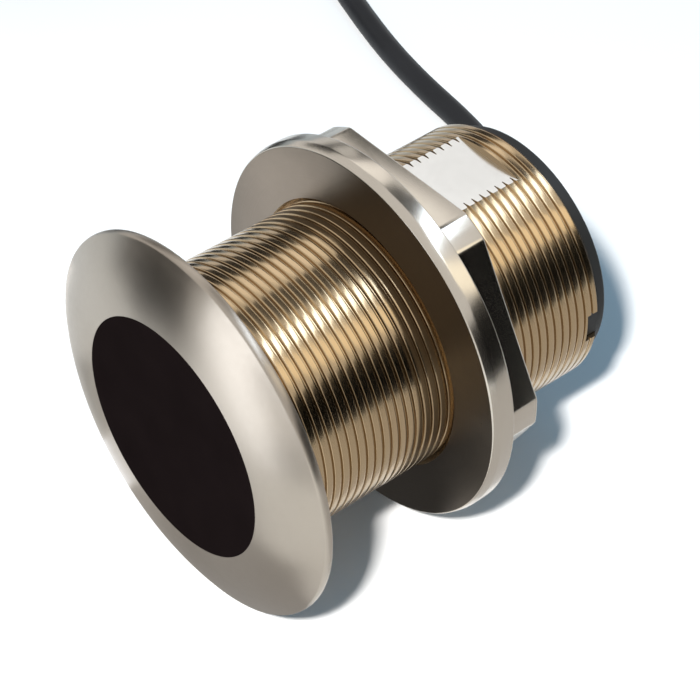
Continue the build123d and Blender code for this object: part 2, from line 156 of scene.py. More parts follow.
def makeTurnedGroup():
    # fine rings left by the lathe about the stem's axis, as a height
    group, start, end = newGroup(
        "latheRings",
        [("Rings per Metre", "NodeSocketFloat", 2500.0), ("Along", "NodeSocketFloat", 0.0)],
        [("Height", "NodeSocketFloat")],
    )
    place = addNode(group, "ShaderNodeTexCoord")
    apart = addNode(group, "ShaderNodeSeparateXYZ", Vector=place.outputs["Object"])
    lift = addNode(group, "ShaderNodeMath", {"operation": "SUBTRACT"}, i0=apart.outputs[2], i1=axisHeight)
    across = addNode(group, "ShaderNodeCombineXYZ", X=apart.outputs[1], Y=lift.outputs[0])
    radius = addNode(group, "ShaderNodeVectorMath", {"operation": "LENGTH"}, i0=across.outputs[0])
    run = addNode(
        group,
        "ShaderNodeMath",
        {"operation": "MULTIPLY_ADD"},
        i0=apart.outputs[0],
        i1=start.outputs["Along"],
        i2=radius.outputs["Value"],
    )
    scaled = addNode(
        group,
        "ShaderNodeMath",
        {"operation": "MULTIPLY"},
        i0=run.outputs[0],
        i1=start.outputs["Rings per Metre"],
    )
    rings = addNode(
        group, "ShaderNodeTexNoise", {"noise_dimensions": "1D"}, W=scaled.outputs[0], Scale=1.0, Detail=3.0
    )
    group.links.new(rings.outputs[0], end.inputs["Height"])
    return group


def makeMouldedGroup():
    # the faint grain and drift of moulded plastic and rubber
    group, start, end = newGroup(
        "mouldedSkin",
        [
            ("Colour", "NodeSocketColor", (0.02, 0.02, 0.02, 1)),
            ("Worn", "NodeSocketColor", (0.05, 0.05, 0.05, 1)),
            ("Roughness", "NodeSocketFloat", 0.45),
            ("Grain Scale", "NodeSocketFloat", 1800.0),
        ],
        [("Color", "NodeSocketColor"), ("Roughness", "NodeSocketFloat"), ("Height", "NodeSocketFloat")],
    )
    place = addNode(group, "ShaderNodeTexCoord")
    drift = addNode(group, "ShaderNodeTexNoise", Vector=place.outputs["Object"], Scale=120.0, Detail=4.0)
    grain = addNode(
        group,
        "ShaderNodeTexNoise",
        Vector=place.outputs["Object"],
        Scale=start.outputs["Grain Scale"],
        Detail=2.0,
    )
    mixed = addNode(
        group,
        "ShaderNodeMix",
        {"data_type": "RGBA"},
        Factor=drift.outputs[0],
        i6=start.outputs["Colour"],
        i7=start.outputs["Worn"],
    )
    roughnessDrift = 0.15
    rough = addNode(
        group,
        "ShaderNodeMath",
        {"operation": "MULTIPLY_ADD"},
        i0=drift.outputs[0],
        i1=roughnessDrift,
        i2=start.outputs["Roughness"],
    )
    group.links.new(mixed.outputs[2], end.inputs["Color"])
    group.links.new(rough.outputs[0], end.inputs["Roughness"])
    group.links.new(grain.outputs[0], end.inputs["Height"])
    return group


def makeCellGroup():
    # crowded cells with darker walls between them, as in cork, foam and sintered ceramic
    group, start, end = newGroup(
        "crowdedCells",
        [
            ("Cell", "NodeSocketColor", (0.5, 0.5, 0.5, 1)),
            ("Wall", "NodeSocketColor", (0.3, 0.3, 0.3, 1)),
            ("Cells per Metre", "NodeSocketFloat", 900.0),
            ("Wall Width", "NodeSocketFloat", 0.12),
        ],
        [("Color", "NodeSocketColor"), ("Height", "NodeSocketFloat")],
    )
    place = addNode(group, "ShaderNodeTexCoord")
    cells = addNode(
        group,
        "ShaderNodeTexVoronoi",
        {"feature": "DISTANCE_TO_EDGE"},
        Vector=place.outputs["Object"],
        Scale=start.outputs["Cells per Metre"],
    )
    inside = addNode(
        group, "ShaderNodeMapRange", Value=cells.outputs[0], From_Min=0.0, From_Max=start.outputs["Wall Width"]
    )
    drift = addNode(group, "ShaderNodeTexNoise", Vector=place.outputs["Object"], Scale=300.0, Detail=4.0)
    share = addNode(
        group, "ShaderNodeMath", {"operation": "MULTIPLY"}, i0=inside.outputs[0], i1=drift.outputs[0]
    )
    mixed = addNode(
        group,
        "ShaderNodeMix",
        {"data_type": "RGBA"},
        Factor=share.outputs[0],
        i6=start.outputs["Wall"],
        i7=start.outputs["Cell"],
    )
    group.links.new(mixed.outputs[2], end.inputs["Color"])
    group.links.new(inside.outputs[0], end.inputs["Height"])
    return group


def makeWaveGroup():
    # even lines across a piece: the turns of a winding, the weave of a laminate, the ribs of a knurl. The
    # grooves between turns and ribs are painted darker, as painted shade; on the laminate the darker lines are
    # the weave's own tone
    group, start, end = newGroup(
        "evenLines",
        [
            ("Ridge", "NodeSocketColor", (0.5, 0.5, 0.5, 1)),
            ("Groove", "NodeSocketColor", (0.3, 0.3, 0.3, 1)),
            ("Lines per Metre", "NodeSocketVector", (1000.0, 0.0, 0.0)),
        ],
        [("Color", "NodeSocketColor"), ("Height", "NodeSocketFloat")],
    )
    place = addNode(group, "ShaderNodeTexCoord")
    scaled = addNode(
        group,
        "ShaderNodeVectorMath",
        {"operation": "MULTIPLY"},
        i0=place.outputs["Object"],
        i1=start.outputs["Lines per Metre"],
    )
    turned = addNode(group, "ShaderNodeVectorMath", {"operation": "SCALE"}, i0=scaled.outputs[0], Scale=2 * pi)
    waves = addNode(group, "ShaderNodeVectorMath", {"operation": "SINE"}, i0=turned.outputs[0])
    # the dot product with ones adds up the three directions
    total = addNode(
        group, "ShaderNodeVectorMath", {"operation": "DOT_PRODUCT"}, i0=waves.outputs[0], i1=(1, 1, 1)
    )
    height = addNode(group, "ShaderNodeMapRange", Value=total.outputs["Value"], From_Min=-1.0, From_Max=1.0)
    mixed = addNode(
        group,
        "ShaderNodeMix",
        {"data_type": "RGBA"},
        Factor=height.outputs[0],
        i6=start.outputs["Groove"],
        i7=start.outputs["Ridge"],
    )
    group.links.new(mixed.outputs[2], end.inputs["Color"])
    group.links.new(height.outputs[0], end.inputs["Height"])
    return group


castMetal = makeCastMetalGroup()
latheRings = makeTurnedGroup()
mouldedSkin = makeMouldedGroup()
crowdedCells = makeCellGroup()
evenLines = makeWaveGroup()


# how deep a bump of full strength is, in metres
bumpDistance = 0.0001


def grey(level):
    return (level, level, level)


def setInputs(node, values):
    for key, value in values.items():
        node.inputs[key.replace("_", " ")].default_value = value


def newMaterial(name, **constants):
    material = bpy.data.materials.new(name)
    material.use_nodes = True
    shader = material.node_tree.nodes["Principled BSDF"]
    setInputs(shader, constants)
    return material, material.node_tree, shader


def placeGroup(tree, group, **values):
    node = tree.nodes.new("ShaderNodeGroup")
    node.node_tree = group
    setInputs(node, values)
    return node


def addBump(tree, shader, height, strength):
    bump = addNode(tree, "ShaderNodeBump", Strength=strength, Distance=bumpDistance, Height=height)
    tree.links.new(bump.outputs[0], shader.inputs["Normal"])


def joinSkin(tree, shader, skin, strength):
    tree.links.new(skin.outputs["Color"], shader.inputs["Base Color"])
    addBump(tree, shader, skin.outputs["Height"], strength)


def bronze(name, metal, stain, roughness, spread=0.08, patchScale=60.0, rings=None, **constants):
    material, tree, shader = newMaterial(name, Metallic=1.0, **constants)
    cast = placeGroup(
        tree,
        castMetal,
        Metal=(*metal, 1),
        Stain=(*stain, 1),
        Patch_Scale=patchScale,
        Roughness=roughness,
        Roughness_Spread=spread,
    )
    tree.links.new(cast.outputs["Color"], shader.inputs["Base Color"])
    tree.links.new(cast.outputs["Roughness"], shader.inputs["Roughness"])
    if rings:
        turned = placeGroup(tree, latheRings, Rings_per_Metre=rings["count"], Along=rings["along"])
        addBump(tree, shader, turned.outputs["Height"], rings["strength"])
        around = addNode(tree, "ShaderNodeTangent", {"direction_type": "RADIAL", "axis": "X"})
        tree.links.new(around.outputs[0], shader.inputs["Tangent"])
    return material


def moulded(name, colour, worn, roughness, grainScale=1800.0, strength=0.15, **constants):
    material, tree, shader = newMaterial(name, **constants)
    skin = placeGroup(
        tree, mouldedSkin, Colour=(*colour, 1), Worn=(*worn, 1), Roughness=roughness, Grain_Scale=grainScale
    )
    tree.links.new(skin.outputs["Roughness"], shader.inputs["Roughness"])
    joinSkin(tree, shader, skin, strength)
    return material


def celled(name, cell, wall, perMetre, wallWidth=0.12, strength=0.3, **constants):
    material, tree, shader = newMaterial(name, **constants)
    skin = placeGroup(
        tree, crowdedCells, Cell=(*cell, 1), Wall=(*wall, 1), Cells_per_Metre=perMetre, Wall_Width=wallWidth
    )
    joinSkin(tree, shader, skin, strength)
    return material


def lined(name, ridge, grooveShade, perMetre, strength=0.4, **constants):
    material, tree, shader = newMaterial(name, **constants)
    skin = placeGroup(tree, evenLines, Ridge=(*ridge, 1), Groove=(*grooveShade, 1), Lines_per_Metre=perMetre)
    joinSkin(tree, shader, skin, strength)
    return material


flangeBronze = bronze(
    "flangeBronze",
    (0.37, 0.32, 0.265),
    (0.32, 0.27, 0.22),
    0.34,
    rings={"count": 4000.0, "along": 0.6, "strength": 0.08},
    Anisotropic=0.85,
    Anisotropic_Rotation=0.25,
)
threadBronze = bronze(
    "threadBronze",
    (0.41, 0.30, 0.18),
    (0.37, 0.265, 0.15),
    0.17,
    spread=0.04,
    Anisotropic=0.6,
    Anisotropic_Rotation=0.25,
)
# the milled flats are bronze painted pale, almost white: a painted highlight for the bright light that the
# flats mirror
milledHighlightBronze = bronze("milledHighlightBronze", (0.68, 0.67, 0.645), (0.62, 0.6, 0.57), 0.3)
nutBronze = bronze("nutBronze", (0.51, 0.46, 0.39), (0.44, 0.38, 0.32), 0.2, spread=0.05)
# the nut's front face is the nut's bronze painted about five times darker: painted shade and a painted dark
# reflection, where the flange and the stem shade the face
nutFaceShadeBronze = bronze(
    "nutFaceShadeBronze",
    (0.105, 0.086, 0.066),
    (0.084, 0.066, 0.048),
    0.3,
    rings={"count": 3000.0, "along": 0.6, "strength": 0.1},
    Anisotropic=0.8,
    Anisotropic_Rotation=0.25,
)
windowUrethane = moulded(
    "windowUrethane", (0.006, 0.004, 0.004), (0.009, 0.006, 0.006), 0.7, Specular_IOR_Level=0.0
)
cableJacket = moulded(
    "cableJacket", (0.01, 0.01, 0.011), (0.018, 0.018, 0.02), 0.36, Specular_IOR_Level=0.18
)
capPlastic = moulded("capPlastic", grey(0.01), grey(0.016), 0.45, Specular_IOR_Level=0.25)
print("materials made")


# Cable: one spline with the route's own points
cable = {
    "radius": 0.0027,
    "exit": (0.0411, 0.0, 0.0365),
    "length": 6.0,
    "order": 3,
    "stepsPerPoint": 3,
    "bevelResolution": 5,
    "lead": [
        (0.0411, 0.0, 0.0365),
        (0.046, 0.0, 0.0365),
        (0.0498, 0.0013, 0.0348),
        (0.0532, 0.0042, 0.0319),
        (0.0562, 0.0082, 0.0273),
        (0.0602, 0.0146, 0.0208),
        (0.0662, 0.0226, 0.0139),
        (0.072, 0.0328, 0.0078),
        (0.078, 0.0436, 0.0039),
        (0.082, 0.054, 0.0027),
        (0.0845, 0.065, 0.0027),
        (0.086, 0.0785, 0.0027),
        (0.0886, 0.093, 0.0027),
        (0.0924, 0.107, 0.0027),
        (0.0974, 0.1225, 0.0027),
        (0.1026, 0.139, 0.0027),
        (0.1068, 0.157, 0.0031),
        (0.1095, 0.1754, 0.0035),
        (0.1095, 0.1889, 0.0035),
    ],
    "tail": [
        (0.0468, 0.2596, 0.0305),
        (0.0298, 0.2596, 0.0305),
        (0.0186, 0.2566, 0.0276),
        (0.0106, 0.249, 0.0216),
        (0.007, 0.239, 0.015),
        (0.0052, 0.2296, 0.0099),
        (0.0024, 0.220928, 0.0073),
        (-0.0016, 0.214, 0.0073),
    ],
}
# The coil is four turns wide and six high. Each turn steps to the next place a little earlier than the last
# turn did.
coil = {
    "centre": (0.0628, 0.2129),
    "outerTurn": 0.0467,
    "bottomTurn": 0.0035,
    "wide": 4,
    "high": 6,
    "turns": 23.25,
    "pointsPerTurn": 24,
    "firstStep": 0.88,
    "lastStep": 22.34,
    "stepWidth": 0.08,
}


def coilPoints():
    pitch = 2 * cable["radius"]
    places = []
    for layer in range(coil["high"]):
        slots = range(coil["wide"]) if layer % 2 == 0 else reversed(range(coil["wide"]))
        places += [(coil["outerTurn"] - slot * pitch, coil["bottomTurn"] + layer * pitch) for slot in slots]
    gap = (coil["lastStep"] - coil["firstStep"]) / (len(places) - 2)
    # a smooth spline runs a little inside its points, so they stand out by as much
    standOut = 4 / (3 + cos(2 * pi / coil["pointsPerTurn"]))
    points = []
    for step in range(int(coil["turns"] * coil["pointsPerTurn"]) + 1):
        turn = step / coil["pointsPerTurn"]
        radius, height = places[0]
        for number, (before, after) in enumerate(zip(places, places[1:])):
            share = (turn - coil["firstStep"] - number * gap) / coil["stepWidth"] + 0.5
            share = min(1.0, max(0.0, share))
            share = share * share * (3 - 2 * share)
            radius += share * (after[0] - before[0])
            height += share * (after[1] - before[1])
        angle = 2 * pi * turn
        points.append(
            (
                coil["centre"][0] + radius * standOut * cos(angle),
                coil["centre"][1] + radius * standOut * sin(angle),
                height,
            )
        )
    return points


def makeCable():
    route = cable["lead"] + coilPoints() + cable["tail"]
    curve = bpy.data.curves.new("cable", "CURVE")
    curve.dimensions = "3D"
    curve.bevel_depth = cable["radius"]
    curve.bevel_resolution = cable["bevelResolution"]
    curve.resolution_u = cable["stepsPerPoint"]
    curve.use_fill_caps = True
    spline = curve.splines.new("NURBS")
    spline.points.add(len(route) - 1)
    for point, place in zip(spline.points, route):
        point.co = (*place, 1.0)
    spline.order_u = cable["order"]
    spline.use_endpoint_u = True
    spline.use_smooth = True
    piece = bpy.data.objects.new("cable", curve)
    bpy.context.scene.collection.objects.link(piece)
    curve.materials.append(cableJacket)
    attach(piece, "transducer")
    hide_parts("cable_lead", "cable_coil", "cable_tail")


makeCable()
print("cable made")


# Tools for the turned pieces
mergeReach = 1e-6
# how far a cutter passes the face that it cuts, and a joined piece sinks into the other
overshoot = 0.001


def deselect():
    bpy.ops.object.select_all(action="DESELECT")


def pick(piece):
    deselect()
    piece.select_set(True)
    bpy.context.view_layer.objects.active = piece


def drawOutline(name, points, closed=True):
    # a plane merged to one corner, drawn out along the outline
    deselect()
    bpy.ops.mesh.primitive_plane_add(size=0.001, location=points[0])
    piece = bpy.context.object
    piece.name = piece.data.name = name
    bpy.ops.object.transform_apply(location=True)
    bpy.ops.object.mode_set(mode="EDIT")
    bpy.ops.mesh.select_mode(type="VERT")
    bpy.ops.mesh.select_all(action="SELECT")
    bpy.ops.mesh.merge(type="CENTER")
    run = list(points) + ([points[0]] if closed else [])
    for before, after in zip(run, run[1:]):
        step = Vector(after) - Vector(before)
        bpy.ops.mesh.extrude_region_move(TRANSFORM_OT_translate={"value": step})
    bpy.ops.mesh.select_all(action="SELECT")
    bpy.ops.mesh.remove_doubles(threshold=mergeReach)
    bpy.ops.object.mode_set(mode="OBJECT")
    return piece


def turnOutline(piece, steps):
    # the outline goes once round the stem's axis
    pick(piece)
    bpy.ops.object.mode_set(mode="EDIT")
    bpy.ops.mesh.select_all(action="SELECT")
    bpy.ops.mesh.spin(steps=steps, angle=2 * pi, center=(0, 0, axisHeight), axis=(1, 0, 0))
    bpy.ops.mesh.select_all(action="SELECT")
    bpy.ops.mesh.remove_doubles(threshold=mergeReach)
    bpy.ops.mesh.normals_make_consistent(inside=False)
    bpy.ops.object.mode_set(mode="OBJECT")
    return piece


def addBlock(name, low, high):
    deselect()
    centre = [(a + b) / 2 for a, b in zip(low, high)]
    bpy.ops.mesh.primitive_cube_add(size=1, location=centre, scale=[b - a for a, b in zip(low, high)])
    block = bpy.context.object
    block.name = name
    bpy.ops.object.transform_apply(location=True, scale=True)
    return block


def applyBoolean(piece, other, operation):
    pick(piece)
    change = piece.modifiers.new(operation.lower(), "BOOLEAN")
    change.operation = operation
    change.solver = "MANIFOLD"
    change.object = other
    bpy.ops.object.modifier_apply(modifier=change.name)
    bpy.data.objects.remove(other)


def smoothPiece(piece, angle):
    pick(piece)
    bpy.ops.object.shade_smooth_by_angle(angle=radians(angle))


def dress(piece, materials, body, slot, *nodes):
    piece.data.materials.clear()
    for material in materials:
        piece.data.materials.append(material)
    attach(piece, body)
    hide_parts(*nodes)


# Housing: a flange turned with its stem, a fine thread, two flats and a notch in the rear rim
housing = {
    "flangeRadius": 0.0365,
    "flangeSeat": 0.0056,
    "rimThickness": 0.0018,
    "rimRound": 0.00035,
    "rimSteps": 8,
    "crownRise": 0.0009,
    "crownSteps": 12,
    "windowRadius": 0.0229,
    "windowDepth": 0.0046,
    "windowLip": 0.0003,
    "boreRadius": 0.0218,
    "boreStart": 0.001,
    "crest": 0.0254,
    "pitch": 0.0018,
    # one turn of the thread, a narrow groove and a broad crest: shares of the pitch, depths below the crest
    "threadShape": [
        (0, 0.00038),
        (0.05, 0.00038),
        (0.14, 0.00005),
        (0.18, 0.000012),
        (0.3, 0),
        (0.7, 0),
        (0.82, 0.000012),
        (0.86, 0.00005),
        (0.95, 0.00038),
        (1, 0.00038),
    ],
    "turnsBefore": 2,
    "turnsAfter": 3,
    "threadStart": 0.0036,
    "stemEnd": 0.0764,
    "endChamfer": 0.001,
    "chamferReach": 0.0002,
    "turnSteps": 160,
    "threadSteps": 128,
    "flatRadius": 0.02415,
    "flatReach": 0.03,
    "flats": (0.044, 0.071),
    "notchWidth": 0.006,
    "notchDepth": 0.0033,
    "notchReach": (0.02, 0.028),
    "notchTurn": 90.7,
    "smoothAngle": 35,
}


def makeThreadedRod():
    size = housing
    crest, pitch, start, end = size["crest"], size["pitch"], size["threadStart"], size["stemEnd"]
    # the thread begins and ends past the stem, and is cut off square at both ends
    first = start - size["turnsBefore"] * pitch
    outline = [atStation(first + share * pitch, crest - depth) for share, depth in size["threadShape"]]
    rod = drawOutline("threadedHousing", outline, closed=False)
    pick(rod)
    # the screw runs about the object's own X axis, so the origin moves onto the stem's axis first
    bpy.context.scene.cursor.location = (0, 0, axisHeight)
    bpy.ops.object.origin_set(type="ORIGIN_CURSOR")
    screw = rod.modifiers.new("thread", "SCREW")
    screw.axis = "X"
    screw.angle = 2 * pi
    screw.screw_offset = pitch
    screw.iterations = int((end - start) / pitch) + size["turnsBefore"] + size["turnsAfter"]
    screw.steps = screw.render_steps = size["threadSteps"]
    screw.use_merge_vertices = False
    screw.use_normal_calculate = True
    bpy.ops.object.modifier_apply(modifier=screw.name)
    bpy.ops.object.transform_apply(location=True)
    bpy.ops.object.mode_set(mode="EDIT")
    bpy.ops.mesh.select_all(action="SELECT")
    bpy.ops.mesh.remove_doubles(threshold=2 * mergeReach)
    for station, direction in ((start, -1), (end, 1)):
        bpy.ops.mesh.select_all(action="SELECT")
        bpy.ops.mesh.bisect(
            plane_co=atStation(station, 0),
            plane_no=(direction, 0, 0),
            use_fill=True,
            clear_outer=True,
            threshold=1e-7,
        )
    bpy.ops.mesh.select_all(action="SELECT")
    bpy.ops.mesh.remove_doubles(threshold=mergeReach)
    bpy.ops.mesh.normals_make_consistent(inside=False)
    bpy.ops.object.mode_set(mode="OBJECT")
    return rod


def cutBoreAndChamfer(rod):
    size = housing
    bore, crest, end = size["boreRadius"], size["crest"], size["stemEnd"]
    chamfer, reach = size["endChamfer"], size["chamferReach"]
    boreOutline = [
        atStation(size["boreStart"], 0.0),
        atStation(size["boreStart"], bore),
        atStation(end + 2 * overshoot, bore),
        atStation(end + 2 * overshoot, 0.0),
    ]
    boreCore = turnOutline(drawOutline("bore", boreOutline, closed=False), size["turnSteps"])
    applyBoolean(rod, boreCore, "DIFFERENCE")
    chamferOutline = [
        atStation(end - chamfer - reach, crest + reach),
        atStation(end + reach, crest - chamfer - reach),
        atStation(end + reach, crest + overshoot),
        atStation(end - chamfer - reach, crest + overshoot),
    ]
    chamferRing = turnOutline(drawOutline("endChamfer", chamferOutline), size["turnSteps"])
    applyBoolean(rod, chamferRing, "DIFFERENCE")


def cutFlats(rod):
    start, end = (faceX + station for station in housing["flats"])
    radius, reach = housing["flatRadius"], housing["flatReach"]
    for least, greatest in ((radius, reach), (-reach, -radius)):
        low = (start, -reach, axisHeight + least)
        high = (end, reach, axisHeight + greatest)
        applyBoolean(rod, addBlock("flat", low, high), "DIFFERENCE")


def cutNotch(rod):
    size = housing
    half, rim = size["notchWidth"] / 2, faceX + size["stemEnd"]
    inner, outer = size["notchReach"]
    notch = addBlock("notch", (rim - size["notchDepth"], -half, inner), (rim + overshoot, half, outer))
    pick(notch)
    # the notch stands at its own turn, towards -Y from straight up
    notch.rotation_euler = (radians(size["notchTurn"]), 0, 0)
    bpy.ops.object.transform_apply(rotation=True)
    notch.location = (0, 0, axisHeight)
    bpy.ops.object.transform_apply(location=True)
    applyBoolean(rod, notch, "DIFFERENCE")


def flangeOutline():
    # from the window over the crown, round the rim to the seat, and back along the bore to the window's seat
    size = housing
    seat, bore, thickness = size["flangeSeat"], size["boreRadius"], size["rimThickness"]
    crownStart = Vector((0.0, size["windowRadius"] + size["windowLip"]))
    crownEnd = Vector((seat - thickness, size["flangeRadius"] - size["rimRound"]))
    chord = crownEnd - crownStart
    out = Vector((-chord.y, chord.x)).normalized()
    outline = [(0.0, size["windowRadius"])]
    for number in range(size["crownSteps"] + 1):
        share = number / size["crownSteps"]
        outline.append(tuple(crownStart + chord * share + out * size["crownRise"] * 4 * share * (1 - share)))
    for number in range(1, size["rimSteps"] + 1):
        turn = pi * (number / size["rimSteps"] - 0.5)
        along = seat - thickness / 2 + thickness / 2 * sin(turn)
        outline.append((along, size["flangeRadius"] - size["rimRound"] * (1 - cos(turn))))
    outline += [(seat, bore + overshoot), (seat, bore), (size["windowDepth"], bore)]
    outline.append((size["windowDepth"], size["windowRadius"]))
    return [atStation(*point) for point in outline]


def makeHousing():
    rod = makeThreadedRod()
    cutBoreAndChamfer(rod)
    cutFlats(rod)
    cutNotch(rod)
    flange = turnOutline(drawOutline("flange", flangeOutline()), housing["turnSteps"])
    applyBoolean(rod, flange, "UNION")
    smoothPiece(rod, housing["smoothAngle"])
    return rod


# what counts as part of the flange, and what as part of a flat, when the faces get their materials
flangeSlack = 0.0001
flangeInside = 0.004
flatLevel = 0.9999
flatSlack = 0.00002


def markHousingFaces():
    for face in threadedHousing.data.polygons:
        rise = face.center.z - axisHeight
        if face.center.x < faceX + housing["flangeSeat"] + flangeSlack:
            radius = Vector((face.center.y, rise)).length
            if radius > housing["crest"] or face.center.x < faceX + flangeInside:
                face.material_index = 1
        elif abs(face.normal.z) > flatLevel and abs(abs(rise) - housing["flatRadius"]) < flatSlack:
            face.material_index = 2
            face.use_smooth = False


threadedHousing = makeHousing()
dress(threadedHousing, [threadBronze, flangeBronze, milledHighlightBronze], "transducer", "bronze", "housing")
markHousingFaces()
print("housing made", len(threadedHousing.data.polygons))

# Hull nut: a round flange and a smaller hexagon with turned corners, in one piece
nut = {
    "front": 0.0407,
    "hexagonFront": 0.0453,
    "rear": 0.0522,
    "radius": 0.0365,
    "innerRadius": 0.02,
    "frontChamfer": 0.0016,
    "frontDrop": 0.00045,
    "bore": 0.02545,
    "boreChamfer": 0.0008,
    "hexagonAcross": 0.0629,
    "hexagonRadius": 0.0349,
    "hexagonTurn": 30.2,
    "cornerReach": 0.0006,
    "cornerSteps": 4,
    "rimReach": 0.0003,
    "rearReach": 0.0004,
    # the rear edge is rounded in three short steps, each so much back and so much inwards
    "rearSteps": ((0.55, 0.15), (0.3, 0.3), (0.15, 0.55)),
    "steps": 192,
    "smoothAngle": 30,
    "frontLevel": 0.9,
    "frontSlack": 0.0005,
}


def roundCorners(points, reach, longest=0.45):
    # each corner of a closed outline becomes a short curve, which takes at most a set share of each side
    steps = nut["cornerSteps"]
    rounded = []
    for number, corner in enumerate(points):
        corner = Vector(corner)
        before = Vector(points[number - 1]) - corner
        after = Vector(points[(number + 1) % len(points)]) - corner
        start = corner + before.normalized() * min(reach, before.length * longest)
        end = corner + after.normalized() * min(reach, after.length * longest)
        for step in range(steps + 1):
            share = step / steps
            rounded.append((1 - share) ** 2 * start + 2 * share * (1 - share) * corner + share**2 * end)
    return rounded


def hexagonOutline():
    # each corner is turned off on the hexagon's radius, so it has a start, a middle and an end
    size = nut
    half = 30 - degrees(acos(size["hexagonAcross"] / 2 / size["hexagonRadius"]))
    outline = []
    for number in range(6):
        for turn in (-half, 0, half):
            angle = radians(size["hexagonTurn"] + 60 * number + turn)
            outline.append(
                (
                    faceX + size["hexagonFront"] - overshoot,
                    -size["hexagonRadius"] * sin(angle),
                    axisHeight + size["hexagonRadius"] * cos(angle),
                )
            )
    return roundCorners(outline, size["cornerReach"])


def makeHexagon():
    size = nut
    hexagon = drawOutline("hexagon", hexagonOutline())
    bpy.ops.object.mode_set(mode="EDIT")
    bpy.ops.mesh.select_all(action="SELECT")
    bpy.ops.mesh.edge_face_add()
    depth = size["rear"] - size["hexagonFront"] + overshoot - size["rearReach"]
    bpy.ops.mesh.extrude_region_move(TRANSFORM_OT_translate={"value": (depth, 0, 0)})
    for back, inward in size["rearSteps"]:
        bpy.ops.mesh.extrude_region_move(TRANSFORM_OT_translate={"value": (back * size["rearReach"], 0, 0)})
        shrink = 1 - inward * size["rearReach"] / size["hexagonRadius"]
        bpy.ops.transform.resize(value=(1, shrink, shrink), center_override=(0, 0, axisHeight))
    bpy.ops.mesh.select_all(action="SELECT")
    bpy.ops.mesh.normals_make_consistent(inside=False)
    bpy.ops.object.mode_set(mode="OBJECT")
    return hexagon


def makeNut():
    size = nut
    bore, radius, chamfer = size["bore"], size["radius"], size["boreChamfer"]
    front, rear, rimRear = size["front"], size["rear"], size["hexagonFront"]
    rimOutline = [
        atStation(front, size["innerRadius"]),
        atStation(front, radius - size["frontDrop"]),
        atStation(front + size["frontChamfer"], radius),
        atStation(rimRear, radius),
        atStation(rimRear, size["innerRadius"]),
    ]
    body = turnOutline(drawOutline("hullNut", roundCorners(rimOutline, size["rimReach"])), size["steps"])
    applyBoolean(body, makeHexagon(), "UNION")
    boreOutline = [
        atStation(front - overshoot, bore + chamfer + overshoot),
        atStation(front + chamfer, bore),
        atStation(rear - chamfer, bore),
        atStation(rear + overshoot, bore + chamfer + overshoot),
        atStation(rear + overshoot, 0.0),
        atStation(front - overshoot, 0.0),
    ]
    boreCore = turnOutline(drawOutline("nutBore", boreOutline), size["steps"])
    applyBoolean(body, boreCore, "DIFFERENCE")
    smoothPiece(body, size["smoothAngle"])
    return body


def markNutFace():
    for face in hullNut.data.polygons:
        if face.normal.x < -nut["frontLevel"] and face.center.x < faceX + nut["front"] + nut["frontSlack"]:
            face.material_index = 1


hullNut = makeNut()
dress(hullNut, [nutBronze, nutFaceShadeBronze], "nut", "bronze", "hull_nut")
markNutFace()
print("nut made", len(hullNut.data.polygons))


# Pieces that stay as built, each in its own finish
def paint(node, material):
    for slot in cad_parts[node].material_slots:
        slot.material = material


